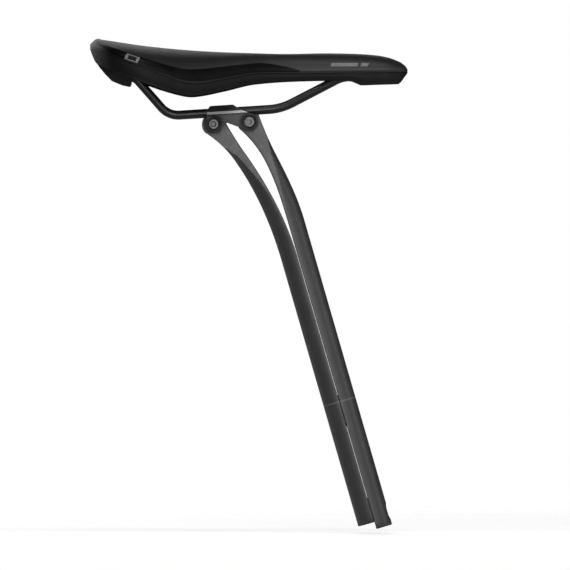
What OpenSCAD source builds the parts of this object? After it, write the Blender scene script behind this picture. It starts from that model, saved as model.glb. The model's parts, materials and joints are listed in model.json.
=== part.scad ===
// Leaf-spring suspension seatpost with a floating head, carrying a short saddle on two round rails.
// Frame: origin on the post axis at the insertion mark, +X forwards, +Y to the rider's left, +Z up.
// The post leans back by post_tilt. Millimetres.

/* [Post] */
// Outside diameter of the post
post_d = 27.2; // [27:0.1:27.4]
// Lean of the post axis from vertical, in degrees
post_tilt = 16.1; // [15:0.1:18]
// Depth of the rear leaf below the insertion mark
insert_depth = 102.4; // [98:0.2:120]
// How much further down the front leaf reaches
foot_step = 5.9; // [4:0.1:8]
// Gap between the two leaves
slit = 0.5; // [0.4:0.1:0.7]
// Wall of a leaf where it is hollow
leaf_wall = 2.2; // [1.8:0.1:3]

/* [Leaves] */
// Distance in front of the post's axis of the point the leaves seem to bend about
flex_forward = 12; // [10:1:14]
// Height at which the rear leaf starts to curve
rear_curve_start = 122; // [115:1:130]
// Height at which the front leaf starts to curve
front_curve_start = 150; // [140:1:155]
// Half thickness of a leaf at its thinnest
leaf_half = 5.2; // [4.8:0.1:5.6]
// Radius of the round eye at the top of a leaf
eye_r = 9.7; // [9:0.1:10]
// Half width of the eye
eye_half = 10.5; // [10:0.1:10.5]

/* [Head] */
// Distance of the rail clamp behind the post axis
setback = 24.4; // [23:0.1:26]
// Height of the rails above the insertion mark, along the post
head_height = 253; // [245:1:265]
// Rise of the rails towards the nose, in degrees
head_pitch = 3.6; // [2:0.1:5]
// Distance between the two head bolts
bolt_span = 29.2; // [28.5:0.1:30]
// Distance of the rear bolt behind the clamp centre
rear_bolt_back = 9.8; // [9:0.1:10.5]
// Depth of the bolts below the rails
bolt_drop = 9.4; // [9.2:0.1:9.6]
// Radius of the clamp plates around each bolt
lobe_r = 7.4; // [7:0.1:7.6]

/* [Saddle] */
// Overall length of the saddle
saddle_l = 259.8; // [255:0.1:265]
// Overall width of the saddle
saddle_w = 145; // [140:1:155]
// Diameter of the saddle rails
rail_d = 7; // [7, 6.9]
// Distance between the rail centres in the clamp
rail_gauge = 44; // [44, 43.8]
// Depth of the channel along the saddle's top
channel_depth = 2; // [0:0.1:2.5]

/* [Hidden] */
$fn = 64;
e = 0.01;

post_r = post_d / 2;
rear_foot = -insert_depth;
front_foot = -insert_depth - foot_step;
pad_t = 0.36;

// Each leaf is split on an arc round the point it bends about, level with the insertion mark.
rear_split_r = 30;
front_split_r = 32.4;
split_gap = 0.12;
blade_foot = 12;
leaf_half_low = (post_r - slit / 2) / 2;
leaf_line = (post_r + slit / 2) / 2;
flare_l = 34;
flank_from = 92;
flank_to = 18;

mark_w = 0.8;
mark_depth = 0.15;

screw_s = -97;
screw_r = 2;
screw_travel = 2.2;
screw_pocket_r = 4.6;
screw_floor = 8;

head_turn = head_pitch - post_tilt;
cheek_in = 11.6;
cheek_out = 18.2;
clamp_in = 18.6;
clamp_out = 28;
clamp_half_l = 14.7;
rail_r = rail_d / 2;
rail_y = rail_gauge / 2;
groove_r = rail_r + 0.05;
bolt_r = 2.5;
bolt_hole_r = 2.7;
bolt_pocket_r = 5.2;
bolt_pocket_floor = 23.8;
sleeve_r = 4.4;
rear_bush_r = sleeve_r + 0.05;
front_bush_r = sleeve_r + 0.75;
bush_out_r = 6.2;
eye_bore_r = bush_out_r + 0.02;
bush_flange_r = 8;

// ---------- helpers ----------

function rot2(v, a) = [v[0] * cos(a) - v[1] * sin(a), v[0] * sin(a) + v[1] * cos(a)];
function mix(a, b, t) = a + (b - a) * t;
function smooth(t) = let (c = min(1, max(0, t))) c * c * (3 - 2 * c);
function sgn_pow(v, p) = sign(v) * pow(abs(v), p);

// Value at x of a smooth curve through knots [x, y], with slopes averaged over the neighbours.
function knot_slope(k, i) =
    let (a = max(0, i - 1), b = min(len(k) - 1, i + 1)) (k[b][1] - k[a][1]) / (k[b][0] - k[a][0]);
function hermite(k, i, x) =
    let (h = k[i + 1][0] - k[i][0], t = (x - k[i][0]) / h, t2 = t * t, t3 = t2 * t)
    (2 * t3 - 3 * t2 + 1) * k[i][1] + (t3 - 2 * t2 + t) * h * knot_slope(k, i)
    + (3 * t2 - 2 * t3) * k[i + 1][1] + (t3 - t2) * h * knot_slope(k, i + 1);
function curve(k, x, i = 0) =
    x <= k[0][0] ? k[0][1]
    : i >= len(k) - 1 ? k[len(k) - 1][1]
    : x <= k[i + 1][0] ? hermite(k, i, x)
    : curve(k, x, i + 1);

// Triangles that close a ring of n points, pairing each point with the one across from it.
function cap(n) = [
    for (i = [0:ceil(n / 2) - 2])
        let (j = n - 1 - i) each concat([[i, i + 1, j]], i + 1 < j - 1 ? [[i + 1, j - 1, j]] : [])
];

// Closed solid through rings of points: each ring has the same number of points.
module skin(rings) {
    n = len(rings[0]);
    m = len(rings);
    points = [for (r = rings) each r];
    sides = [
        for (i = [0:m - 2], j = [0:n - 1])
            let (a = i * n + j, b = i * n + (j + 1) % n, c = a + n, d = b + n) each [[a, b, d], [a, d, c]]
    ];
    first = [for (t = cap(n)) [t[0], t[2], t[1]]];
    last = [for (t = cap(n)) [for (v = t) v + (m - 1) * n]];
    polyhedron(points, concat(sides, first, last));
}

// The post frame: local z runs up the post axis and local x points forwards across it.
module post_frame() {
    rotate([0, -post_tilt, 0]) children();
}

head_in_post = [-setback, head_height];
function in_post(v) = head_in_post + rot2(v, head_turn);
head_in_world = rot2(head_in_post, post_tilt);

// The head frame: origin midway between the rails in the clamp, local x along the rails.
module head_frame() {
    translate([head_in_world[0], 0, head_in_world[1]]) rotate([0, -head_pitch, 0]) children();
}

// The saddle frame: the same origin, level with the ground.
module saddle_frame() {
    translate([head_in_world[0], 0, head_in_world[1]]) children();
}

rear_bolt = [-rear_bolt_back, -bolt_drop];
front_bolt = [bolt_span - rear_bolt_back, -bolt_drop];
rear_eye = in_post(rear_bolt);
front_eye = in_post(front_bolt);

// A cylinder along Y, from y0 to y1.
module y_cylinder(r, y0, y1) {
    translate([0, y1, 0]) rotate([90, 0, 0]) cylinder(r = r, h = y1 - y0);
}

// Extrudes an outline drawn in x and z, from y0 to y1.
module y_extrude(y0, y1) {
    translate([0, y1, 0]) rotate([90, 0, 0]) linear_extrude(height = y1 - y0) children();
}

// Extrudes an outline drawn in y and z, from x0 to x1.
module x_extrude(x0, x1) {
    translate([x0, 0, 0]) rotate([90, 0, 90]) linear_extrude(height = x1 - x0) children();
}

// ---------- leaves ----------

// A half rod of radius r: side is 1 for the front half and -1 for the rear half.
module half_rod(side, r, s0, s1, gap) {
    difference() {
        translate([0, 0, s0]) cylinder(r = r, h = s1 - s0);
        translate([side > 0 ? -2 * r + gap : -gap, -2 * r, s0 - 1]) cube([2 * r, 4 * r, s1 - s0 + 2]);
    }
}

module split_cylinder(r) {
    translate([flex_forward, 0, 0]) y_cylinder(r, -post_d, post_d);
}

module insertion_mark() {
    translate([0, 0, -mark_w / 2]) difference() {
        cylinder(r = post_r + 1, h = mark_w);
        translate([0, 0, -1]) cylinder(r = post_r - mark_depth, h = mark_w + 2);
    }
}

// The lower, clamped part of a leaf: solid at its foot, hollow above it, with a rounded top.
module leaf_shank(side, foot, split_r) {
    hollow_from = -78;
    difference() {
        half_rod(side, post_r, foot, split_r + 1, slit / 2);
        half_rod(side, post_r - leaf_wall, hollow_from, split_r + 2, slit / 2 + leaf_wall);
        difference() {
            translate([-post_d, -post_d, 0]) cube([2 * post_d, 2 * post_d, 2 * split_r]);
            split_cylinder(split_r);
        }
        insertion_mark();
    }
}

// A slot in the direction of the post, bored along the local x axis from x0 to x1.
module post_slot(r, travel, x0, x1) {
    translate([x0, 0, screw_s]) {
        for (end = [-1, 1]) translate([0, 0, end * travel]) rotate([0, 90, 0]) cylinder(r = r, h = x1 - x0);
        translate([0, -r, -travel]) cube([x1 - x0, 2 * r, 2 * travel]);
    }
}

module rear_leaf_shank() {
    color("dimgray") post_frame() difference() {
        leaf_shank(-1, rear_foot, rear_split_r);
        translate([-5.4, 0, screw_s]) rotate([0, 90, 0]) cylinder(r = 4.6, h = 6);
        translate([-8, 0, screw_s]) rotate([0, 90, 0]) cylinder(r = screw_r + 0.2, h = 8);
    }
}

module front_leaf_shank() {
    color("dimgray") post_frame() difference() {
        leaf_shank(1, front_foot, front_split_r);
        post_slot(screw_r + 0.5, screw_travel, -1, screw_floor + 1);
        post_slot(screw_pocket_r, screw_travel, screw_floor, post_r + 2);
    }
}

// The curved part of a leaf is a circular arc that leaves the straight part smoothly and ends at its bolt.
function arc_radius(line, start, eye) =
    let (dx = line - eye[0], dy = eye[1] - start) (dx * dx + dy * dy) / (2 * dx);
function arc_angle(line, start, eye) = asin((eye[1] - start) / arc_radius(line, start, eye));

// Half thickness of a leaf at distance d before its bolt, along an arc of length l.
function leaf_half_at(d, l) =
    mix(leaf_half_low, leaf_half, smooth((l - d) / (l - flare_l)))
    + (eye_r - leaf_half) * pow(max(0, 1 - d / flare_l), 2);

// Section of a leaf at position c, heading a degrees back from the post, half thickness h, half width w.
// Flat flanks reach over a share of the thickness, and a rounded outer side meets them at a crease.
leaf_steps = 14;
least_flat = 0.02;
function leaf_section(side, c, a, h, w, flat) =
    let (
        crease = 0.38 * min(1, flat / 0.3),
        last = acos(crease),
        arc = [
            for (k = [0:leaf_steps])
                let (t = mix(-last, last, k / leaf_steps))
                [2 * h * mix(flat, 1, (cos(t) - crease) / (1 - crease)) - h, w * sin(t) / sin(last)]
        ]
    )
    [
        for (p = concat([[-h, -w]], arc, [[-h, w]]))
            let (v = c + rot2([side * p[0], 0], a)) [v[0], -side * p[1], v[1]]
    ];

// How far the flanks have spread at distance d before the bolt, as a share and as a half width.
function spread_at(d) = min(1, max(0, (flank_from - d) / (flank_from - flank_to)));
function flat_at(d) = max(least_flat, 0.97 * pow(spread_at(d), 1.5));
function width_at(d) = mix(post_r, eye_half, smooth(spread_at(d)));

module leaf_body(side, start, eye) {
    line = side * leaf_line;
    radius = arc_radius(line, start, eye);
    sweep = arc_angle(line, start, eye);
    length = radius * sweep * PI / 180;
    centre = [line - radius, start];
    steps = 14;
    end_steps = 5;
    straight = [
        for (s = [blade_foot, start]) leaf_section(side, [line, s], 0, leaf_half_low, post_r, least_flat)
    ];
    bend = [
        for (i = [1:steps])
            let (a = sweep * i / steps, d = length * (1 - i / steps), at = centre + radius * [cos(a), sin(a)])
            leaf_section(side, at, a, leaf_half_at(d, length), width_at(d), flat_at(d))
    ];
    tip = [
        for (i = [1:end_steps])
            let (b = 85 * i / end_steps)
            leaf_section(side, eye + rot2([0, eye_r * sin(b)], sweep), sweep, eye_r * cos(b), eye_half, 0.97)
    ];
    skin(concat(straight, bend, tip));
}

module leaf_blade(side, start, eye, split_r) {
    difference() {
        leaf_body(side, start, eye);
        split_cylinder(split_r + split_gap);
        translate([eye[0], 0, eye[1]]) y_cylinder(eye_bore_r, -post_d, post_d);
    }
}

module rear_leaf_blade() {
    color("gray") post_frame() leaf_blade(-1, rear_curve_start, rear_eye, rear_split_r);
}

module front_leaf_blade() {
    color("gray") post_frame() leaf_blade(1, front_curve_start, front_eye, front_split_r);
}

// ---------- between the leaves ----------

// A thin strip between the flat faces of the leaves.
module slit_pad(s0, s1) {
    translate([-pad_t / 2, -post_r + 0.6, s0]) cube([pad_t, post_d - 1.2, s1 - s0]);
}

module collar_pad() {
    color("black") post_frame() slit_pad(-21, 5.5);
}

module foot_pad() {
    color("black") post_frame() difference() {
        slit_pad(rear_foot, -82);
        post_slot(screw_r + 0.6, screw_travel, -1, 1);
    }
}

module adjust_screw() {
    head_base = screw_floor + 1.1;
    color("silver") post_frame() translate([0, 0, screw_s]) rotate([0, 90, 0]) difference() {
        union() {
            translate([0, 0, -7]) cylinder(r = screw_r, h = head_base + 7 + e);
            translate([0, 0, head_base]) cylinder(r = 3.5, h = 2.8);
        }
        translate([0, 0, head_base + 0.8]) cylinder(r = 1.7, h = 3, $fn = 6);
    }
}

module adjust_washer() {
    color("silver") post_frame() translate([screw_floor + 0.04, 0, screw_s]) rotate([0, 90, 0]) difference() {
        cylinder(r = 4.2, h = 1);
        translate([0, 0, -1]) cylinder(r = screw_r + 0.15, h = 3);
    }
}

module adjust_nut() {
    color("silver") post_frame() translate([-5.3, 0, screw_s]) rotate([0, 90, 0]) difference() {
        cylinder(r = 4.5, h = 4.6);
        translate([0, 0, -1]) cylinder(r = screw_r + 0.06, h = 7);
    }
}

// ---------- head ----------

module at_bolt(v) {
    translate([v[0], 0, v[1]]) children();
}

// Side form of a clamp plate: two lobes, a sloping front and a slanted notch between the leaves.
module clamp_form(r, y0, y1) {
    difference() {
        union() {
            for (b = [rear_bolt, front_bolt]) at_bolt(b) y_cylinder(r, y0, y1);
            y_extrude(y0, y1) polygon([
                [-clamp_half_l, -0.8], [-clamp_half_l + 0.4, 2.4], [-11.6, 5.6],
                [6.9, 5.6], [clamp_half_l, 0.4],
                front_bolt + (r - 0.2) * [sin(32), cos(32)], front_bolt + [0, -r + 1],
                rear_bolt + [0, -r + 1], rear_bolt + (r - 0.2) * [-cos(18), sin(18)]
            ]);
        }
        y_extrude(y0 - 1, y1 + 1) polygon([
            [-4.2, -30], [-4.2, -13.5], [-0.6, -9.2], [1.2, -8.5],
            [9.8, -12.2], [12.2, -13.6], [13.8, -16.5], [13.8, -30]
        ]);
    }
}

// Section of a right clamp plate: upright at the bolts, stepped round the cradle and hooked over the rail.
module clamp_section() {
    x_extrude(-30, 40) polygon([
        [-clamp_in, -20], [-clamp_out, -20], [-clamp_out, -1.4], [-clamp_out + 1.2, 0.6],
        [-clamp_out + 2.8, 5.6], [-19.4, 5.6], [-19.4, 2],
        [-rail_y, 0], [-rail_y - 1.7, -2], [-rail_y - 1.7, -6.2], [-clamp_in, -6.2]
    ]);
}

// The groove a rail lies in.
module rail_groove(side) {
    translate([-40, side * rail_y, 0]) rotate([0, 90, 0]) cylinder(r = groove_r, h = 90);
}

module side_clamp() {
    difference() {
        intersection() {
            clamp_form(lobe_r, -clamp_out - 1, -clamp_in + 1);
            clamp_section();
        }
        rail_groove(-1);
        for (b = [rear_bolt, front_bolt]) at_bolt(b) {
            y_cylinder(bolt_hole_r, -40, 0);
            y_cylinder(bolt_pocket_r, -40, -bolt_pocket_floor);
        }
    }
}

module right_side_clamp() {
    color("gray") head_frame() side_clamp();
}

module left_side_clamp() {
    color("gray") head_frame() mirror([0, 1, 0]) side_clamp();
}

// Section of the core: two cheeks, a bridge over the eyes and a ledge under each rail.
module core_section() {
    top = 4.8;
    bridge = 1.3;
    ledge = rail_y + 1.5;
    x_extrude(-30, 40) polygon([
        [-cheek_out, top], [-cheek_out, -0.6], [-ledge, -0.6], [-ledge, -6], [-cheek_out, -6],
        [-cheek_out, -20], [-cheek_in, -20], [-cheek_in, bridge], [cheek_in, bridge], [cheek_in, -20],
        [cheek_out, -20], [cheek_out, -6], [ledge, -6], [ledge, -0.6], [cheek_out, -0.6], [cheek_out, top]
    ]);
}

module head_core() {
    color("gray") head_frame() difference() {
        intersection() {
            clamp_form(lobe_r - 0.5, -40, 40);
            core_section();
        }
        for (side = [-1, 1]) rail_groove(side);
        for (b = [rear_bolt, front_bolt]) at_bolt(b) y_cylinder(bolt_hole_r, -40, 40);
        // The ledges stop short of the rails' front bends.
        for (side = [-1, 1])
            translate([clamp_half_l + 0.9, side * (cheek_out + 10) - 10, -7]) cube([20, 20, 12]);
    }
}

module clamp_bolt(at) {
    color("silver") head_frame() at_bolt(at) {
        base = -bolt_pocket_floor - 1.05;
        difference() {
            union() {
                y_cylinder(bolt_r, base - e, 27);
                y_cylinder(4, base - 2.9, base);
            }
            translate([0, base - 0.9, 0]) rotate([90, 0, 0]) cylinder(r = 2.3, h = 3, $fn = 6);
        }
    }
}

module rear_clamp_bolt() {
    clamp_bolt(rear_bolt);
}

module front_clamp_bolt() {
    clamp_bolt(front_bolt);
}

module bolt_washer(at) {
    color("silver") head_frame() at_bolt(at) difference() {
        y_cylinder(4.4, -bolt_pocket_floor - 1.02, -bolt_pocket_floor - 0.02);
        y_cylinder(bolt_r + 0.15, -40, 0);
    }
}

module rear_bolt_washer() {
    bolt_washer(rear_bolt);
}

module front_bolt_washer() {
    bolt_washer(front_bolt);
}

module clamp_nut(at) {
    color("silver") head_frame() at_bolt(at) difference() {
        translate([0, bolt_pocket_floor + 4, 0]) rotate([90, 0, 0]) cylinder(r = 4.5, h = 3.97, $fn = 6);
        y_cylinder(bolt_r + 0.06, 0, 40);
    }
}

module rear_clamp_nut() {
    clamp_nut(rear_bolt);
}

module front_clamp_nut() {
    clamp_nut(front_bolt);
}

module pivot_sleeve(at) {
    color("gold") head_frame() at_bolt(at) difference() {
        y_cylinder(sleeve_r, -cheek_in + 0.05, cheek_in - 0.05);
        y_cylinder(bolt_r + 0.1, -40, 40);
    }
}

module rear_pivot_sleeve() {
    pivot_sleeve(rear_bolt);
}

module front_pivot_sleeve() {
    pivot_sleeve(front_bolt);
}

// A flanged bush pressed into an eye from the right.
module eye_bush(at, r) {
    color("beige") head_frame() at_bolt(at) difference() {
        union() {
            y_cylinder(bush_out_r, -eye_half - 0.05, -0.2);
            y_cylinder(bush_flange_r, -eye_half - 0.95, -eye_half - 0.05);
        }
        y_cylinder(r, -40, 1);
    }
}

module rear_bush_right() {
    eye_bush(rear_bolt, rear_bush_r);
}

module rear_bush_left() {
    mirror([0, 1, 0]) eye_bush(rear_bolt, rear_bush_r);
}

module front_bush_right() {
    eye_bush(front_bolt, front_bush_r);
}

module front_bush_left() {
    mirror([0, 1, 0]) eye_bush(front_bolt, front_bush_r);
}

// ---------- saddle rails ----------

function unit(v) = v / norm(v);

// Corners of the right rail in the head frame, from the rear socket to the nose socket, and the bend at each.
rail_path = [
    [-92, -27, 39.4], [-71, -26, 32.4], [-46, -rail_y, 0], [46, -rail_y, 0], [97.3, -9, 22.6], [130, -8, 21.1]
];
rail_bends = [0, 11, 18, 42, 22, 0];
clamp_run = 26;

function path_dir(i) = unit(rail_path[i + 1] - rail_path[i]);
function bend_angle(i) = acos(path_dir(i - 1) * path_dir(i));
function bend_trim(i) = rail_bends[i] * tan(bend_angle(i) / 2);

// Point and heading a degrees round the bend at corner i.
function bend_point(i, a) =
    let (
        d = path_dir(i - 1),
        inward = cross(unit(cross(d, path_dir(i))), d),
        start = rail_path[i] - d * bend_trim(i)
    )
    [start + rail_bends[i] * ((1 - cos(a)) * inward + sin(a) * d), cos(a) * d + sin(a) * inward];
function bend_run(i, steps) = [for (k = [0:steps]) bend_point(i, bend_angle(i) * k / steps)];

function ring(p, r, n) =
    let (up = unit(cross(p[1], [0, 1, 0])), side = cross(p[1], up))
    [for (k = [0:n - 1]) p[0] + r * (cos(360 * k / n) * up - sin(360 * k / n) * side)];

module bar(points, r) {
    skin([for (p = points) ring(p, r, 24)]);
}

rear_run = concat(
    [[rail_path[0], path_dir(0)]], bend_run(1, 5), bend_run(2, 8), [[[-clamp_run, -rail_y, 0], [1, 0, 0]]]
);
nose_run = concat(
    [[[clamp_run, -rail_y, 0], [1, 0, 0]]], bend_run(3, 8), bend_run(4, 6), [[rail_path[5], path_dir(4)]]
);

// The clamped stretch is a true cylinder. The bent ends are swept.
module rail() {
    bar(rear_run, rail_r - e);
    bar(nose_run, rail_r - e);
    translate([-clamp_run - 1, -rail_y, 0]) rotate([0, 90, 0]) cylinder(r = rail_r, h = 2 * clamp_run + 2);
}

module right_rail() {
    color("black") head_frame() rail();
}

module left_rail() {
    color("black") head_frame() mirror([0, 1, 0]) rail();
}

// A straight bore for one end of the right rail, from a corner of its path outwards.
module rail_bore(corner, last) {
    d = last - corner;
    rotate([0, -head_pitch, 0]) translate(corner - d) rotate([0, 90 - asin(d[2] / norm(d)), atan2(d[1], d[0])])
        cylinder(r = rail_r + 0.04, h = 2 * norm(d) + 0.1);
}

module rear_socket() {
    difference() {
        y_extrude(-34.5, -19.5) polygon([
            [-103.2, 37.6], [-98, 31.2], [-92.7, 25.8], [-84, 22.2], [-77.6, 20.9], [-76.4, 23.2],
            [-76.4, 40.9], [-85, 42.2], [-97, 45.1], [-101, 46.4]
        ]);
        rail_bore(rail_path[1], rail_path[0]);
    }
}

module right_rear_socket() {
    color("black") saddle_frame() rear_socket();
}

module left_rear_socket() {
    color("black") saddle_frame() mirror([0, 1, 0]) rear_socket();
}

module nose_socket() {
    color("black") saddle_frame() difference() {
        intersection() {
            x_extrude(104, 143.5) polygon([
                [-12.6, 22], [12.6, 22], [12.6, 30], [8.5, 33.2], [-8.5, 33.2], [-12.6, 30]
            ]);
            y_extrude(-20, 20) polygon([[104, 25], [111, 22], [142, 23], [143.5, 25], [143.5, 34], [104, 34]]);
        }
        for (side = [0, 1]) mirror([0, side, 0]) rail_bore(rail_path[4], rail_path[5]);
    }
}

// ---------- saddle body ----------
// Side profiles as knots [x, z] from the clamp centre, level with the ground.

tail_x = -110.3;
nose_x = tail_x + saddle_l;
top_line = [
    [tail_x, 55.2], [-104.5, 59], [-63, 53.8], [-17, 49.9], [28.6, 48.4], [97, 47.5], [131.5, 44.8],
    [143, 41.3], [nose_x, 34.8]
];
seam_line = [
    [tail_x, 52.6], [-101.9, 50.2], [-82.2, 41.8], [-50.4, 30.1], [-36.3, 24.6], [-22.2, 23], [-3.5, 25.8],
    [23.4, 31.1], [54.6, 32.3], [nose_x, 33.2]
];
skirt_line = [
    [tail_x, 52], [-108.4, 47], [-105, 40], [-98, 36], [-64.5, 22.7], [-40, 14.9], [-26, 12.8], [0, 17.4],
    [22.9, 22.6], [62.9, 25.3], [104, 25.2], [112, 22.4], [142.9, 23.4], [nose_x, 32.2]
];
panel_line = [
    [-102, 56.2], [-67.2, 43.7], [-36.3, 35.2], [-22.2, 34.7], [12.3, 38.5], [30, 40], [49.6, 37.1], [66, 33]
];

wide_x = -66;
neck_x = 64;
nose_half = 21;
tail_round = 2.5;

// Half width of the saddle at x: a blunt tail, a waist and a narrow rounded nose.
function half_width(x) =
    x < wide_x
        ? saddle_w / 2 * pow(max(0, 1 - pow((wide_x - x) / (wide_x - tail_x), tail_round)), 1 / 2.2)
        : mix(saddle_w / 2, nose_half, smooth(pow(min(1, (x - wide_x) / (neck_x - wide_x)), 0.9)))
            * pow(max(0, 1 - pow(max(0, (x - nose_x + 26) / 26), 3)), 1 / 2);

// Stations crowd towards both ends. The first and last keep a small width.
stations = 32;
function station(i) = mix(tail_x, nose_x, 0.5 - 0.5 * cos(mix(7, 173, i / stations)));
function foam_t(x) = mix(8.5, 5.5, smooth((x - wide_x) / (neck_x - wide_x)));
function shrink(x) = min(1, half_width(x) / 26);

// Depth of the channel along the top, fading out before the tail and the nose.
function channel(x, y) = channel_depth * smooth((x + 80) / 45) * smooth((90 - x) / 60) * exp(-pow(y / 8, 2));

// Point of the upper family of surfaces at station x and angle f from the crown, off inside the cover.
function crown_point(x, f, off) =
    let (
        o = off * shrink(x),
        w = half_width(x) - o,
        base = curve(seam_line, x),
        rise = max(0.4, curve(top_line, x) - base - o),
        y = w * sgn_pow(sin(f), 0.86)
    )
    [x, y, base + rise * pow(max(0, cos(f)), 0.8) - channel(x, y)];

crown_steps = 18;
function crown_arc(x, off) = [for (j = [0:crown_steps]) crown_point(x, -90 + 180 * j / crown_steps, off)];
function backwards(v) = [for (i = [len(v) - 1:-1:0]) v[i]];

// A padded layer between two depths below the cover's surface, inset by some stations at each end.
module crown_layer(inset, off_out, off_in) {
    skin([
        for (i = [inset:stations - inset])
            let (x = station(i)) concat(backwards(crown_arc(x, off_in(x))), crown_arc(x, off_out(x)))
    ]);
}

module saddle_cover() {
    color("black") saddle_frame() crown_layer(0, function(x) 0, function(x) 1.1);
}

module saddle_foam() {
    color("dimgray") saddle_frame() crown_layer(1, function(x) 1.7, function(x) foam_t(x));
}

// Section of the shell: a skirt on each side, a rim under the cover's edge and a crown under the foam.
shell_t = 2;
shell_gap = 0.4;
function shell_arc(x, t) =
    let (
        k = shrink(x),
        w = half_width(x) - t * k,
        drop = shell_gap + t * k,
        rim = curve(seam_line, x) - drop,
        low = curve(skirt_line, x),
        tuck = 2.5 * k,
        arc = [for (p = crown_arc(x, foam_t(x) + shell_gap + t)) [p[0], p[1], p[2] - drop]]
    )
    concat([[x, -w + tuck, low], [x, -w, rim]], arc, [[x, w, rim], [x, w - tuck, low]]);

module saddle_shell() {
    color("black") saddle_frame() skin([
        for (i = [0:stations])
            let (x = station(i)) concat(backwards(shell_arc(x, shell_t)), shell_arc(x, 0))
    ]);
}

// A glossy panel on the side of the cover, from the seam up to its own upper edge.
panel_t = 0.5;
panel_gap = 0.6;
function panel_top(x) =
    let (base = curve(seam_line, x), rise = curve(top_line, x) - base)
    acos(pow(min(0.92, max(0.02, (curve(panel_line, x) - base) / rise)), 1 / 0.8));

module side_panel() {
    from = -100;
    to = 62;
    rows = 22;
    cols = 6;
    skin([
        for (i = [0:rows])
            let (
                x = mix(from, to, i / rows),
                f0 = panel_top(x),
                inner = [for (j = [0:cols]) crown_point(x, mix(f0, 89, j / cols), -panel_gap)],
                outer = [for (j = [0:cols]) crown_point(x, mix(f0, 89, j / cols), -panel_gap - panel_t)]
            )
            concat(backwards(inner), outer)
    ]);
}

module left_side_panel() {
    color("black") saddle_frame() side_panel();
}

module right_side_panel() {
    color("black") saddle_frame() mirror([0, 1, 0]) side_panel();
}

// ---------- nodes ----------

rear_leaf_shank();
rear_leaf_blade();
front_leaf_shank();
front_leaf_blade();
collar_pad();
foot_pad();
adjust_screw();
adjust_washer();
adjust_nut();
head_core();
right_side_clamp();
left_side_clamp();
rear_clamp_bolt();
front_clamp_bolt();
rear_bolt_washer();
front_bolt_washer();
rear_clamp_nut();
front_clamp_nut();
rear_pivot_sleeve();
front_pivot_sleeve();
rear_bush_right();
rear_bush_left();
front_bush_right();
front_bush_left();
right_rail();
left_rail();
right_rear_socket();
left_rear_socket();
nose_socket();
saddle_shell();
saddle_foam();
saddle_cover();
right_side_panel();
left_side_panel();
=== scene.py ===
"""Looks for the suspension seatpost and its saddle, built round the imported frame.

Shapes are worked out in millimetres, in the row frame, and scaled to metres when a mesh is made.
"""

import json
import math

import bmesh
import bpy
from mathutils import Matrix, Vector


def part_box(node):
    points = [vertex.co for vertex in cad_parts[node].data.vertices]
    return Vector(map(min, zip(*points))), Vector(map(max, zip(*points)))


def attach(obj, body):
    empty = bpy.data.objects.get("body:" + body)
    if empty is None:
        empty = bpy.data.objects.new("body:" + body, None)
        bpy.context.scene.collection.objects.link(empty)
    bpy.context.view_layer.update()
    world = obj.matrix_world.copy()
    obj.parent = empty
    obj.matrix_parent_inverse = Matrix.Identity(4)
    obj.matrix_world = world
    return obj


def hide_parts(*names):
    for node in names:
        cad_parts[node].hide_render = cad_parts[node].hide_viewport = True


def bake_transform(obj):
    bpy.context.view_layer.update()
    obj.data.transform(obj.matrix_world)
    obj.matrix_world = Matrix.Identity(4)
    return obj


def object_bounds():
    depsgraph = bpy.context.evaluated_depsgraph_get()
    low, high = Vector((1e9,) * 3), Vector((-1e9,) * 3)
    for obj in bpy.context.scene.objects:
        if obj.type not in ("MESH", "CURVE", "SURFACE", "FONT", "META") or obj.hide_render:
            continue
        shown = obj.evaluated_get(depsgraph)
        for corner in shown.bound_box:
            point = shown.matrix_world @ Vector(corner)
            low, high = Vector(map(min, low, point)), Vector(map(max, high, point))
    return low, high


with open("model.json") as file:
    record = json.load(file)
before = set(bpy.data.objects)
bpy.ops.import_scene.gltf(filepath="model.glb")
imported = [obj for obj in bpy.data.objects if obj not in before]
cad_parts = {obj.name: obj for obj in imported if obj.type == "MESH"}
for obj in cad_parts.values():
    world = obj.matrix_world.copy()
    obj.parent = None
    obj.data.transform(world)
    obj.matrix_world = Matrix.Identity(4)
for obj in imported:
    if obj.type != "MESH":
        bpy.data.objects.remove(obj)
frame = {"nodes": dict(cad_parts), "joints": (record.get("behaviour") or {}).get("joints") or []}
cad_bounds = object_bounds()

MM = 0.001
SIDES = (("left", 1), ("right", -1))
JOINTS = {joint["name"]: joint for joint in frame["joints"]}

# ---------- places taken from the frame ----------

POST_UP = Vector(JOINTS["tilt_adjust"]["axis"]).normalized()
POST_AHEAD = Vector((POST_UP.z, 0, -POST_UP.x))
RAIL_AHEAD = Vector(JOINTS["saddle_slide"]["axis"]).normalized()
RAIL_UP = Vector((-RAIL_AHEAD.z, 0, RAIL_AHEAD.x))


def centre_of(node):
    """Centre of a node's box across the bicycle's middle plane, in mm."""
    low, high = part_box(node)
    middle = (low + high) / 2 / MM
    return Vector((middle.x, 0, middle.z))


REAR_BOLT = centre_of("rear_clamp_bolt")
FRONT_BOLT = centre_of("front_clamp_bolt")
REAR_BOLT_BACK = 9.8
BOLT_DROP = 9.4
CLAMP = REAR_BOLT + RAIL_AHEAD * REAR_BOLT_BACK + RAIL_UP * BOLT_DROP

POST_R = 13.6
SLIT = 0.28


def on_post(ahead, up, left=0.0):
    """Point given across, along and beside the post's axis."""
    return POST_AHEAD * ahead + POST_UP * up + Vector((0, left, 0))


def post_place(point):
    """How far ahead and how high a point is in the post's own frame."""
    return point.dot(POST_AHEAD), point.dot(POST_UP)


def on_head(ahead, left, up):
    """Point in the head's frame, which starts midway between the clamped rails."""
    return CLAMP + RAIL_AHEAD * ahead + RAIL_UP * up + Vector((0, left, 0))


def on_saddle(x, y, z):
    """Point in the saddle's level frame, which starts at the same place."""
    return CLAMP + Vector((x, y, z))


# ---------- small helpers ----------


def mix(a, b, t):
    return a + (b - a) * t


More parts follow.
